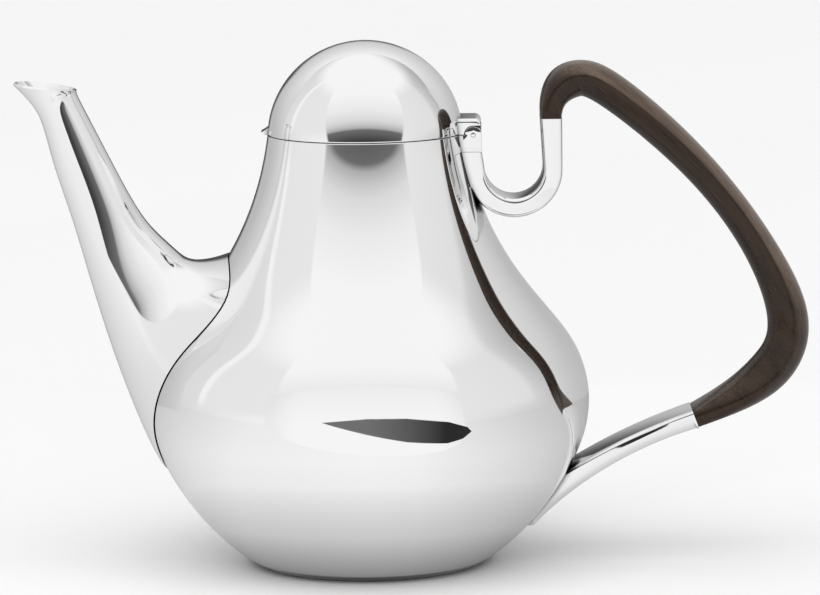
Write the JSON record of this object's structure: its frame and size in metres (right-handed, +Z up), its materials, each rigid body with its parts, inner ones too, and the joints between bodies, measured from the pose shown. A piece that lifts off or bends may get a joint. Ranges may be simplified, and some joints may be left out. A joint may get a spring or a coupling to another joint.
{
  "type": "silver coffee pot",
  "caption": "Pear-shaped polished silver coffee pot with a trumpet spout, a hinged domed lid and a carved dark wood handle held between silver brackets",
  "frame": {"origin": "Centre of the flat foot, on the surface the pot stands on", "axes": "+Z is up. The spout points to -X and the handle to +X, so X is the longest extent. Y runs across the handle, and the pot is the same on both sides of the XZ plane."},
  "size_m": [0.2569, 0.1436, 0.17],
  "materials": {
    "silver": "mirror polished silver",
    "wood": "oiled dark hardwood with a satin sheen"
  },
  "bodies": {
    "pot": {"body_shell": "silver", "base_plate": "silver", "mouth_ring": "silver", "spout_shell": "silver", "spout_strainer": "silver", "hinge_block": "silver", "hinge_pin": "silver", "upper_bracket": "silver", "lower_bracket": "silver", "wood_handle": "wood", "upper_handle_peg": "silver", "lower_handle_peg": "silver"},
    "lid": {"lid_dome": "silver", "lid_bezel": "silver", "lid_finger_tip": "silver", "lid_hinge_leaf": "silver"}
  },
  "joints": [
    {"name": "lid_hinge", "type": "hinge", "parent": "pot", "child": "lid", "pos_m": [0.0347, 0, 0.14], "axis": [0, 1, 0], "range_deg": [0, 80]}
  ]
}
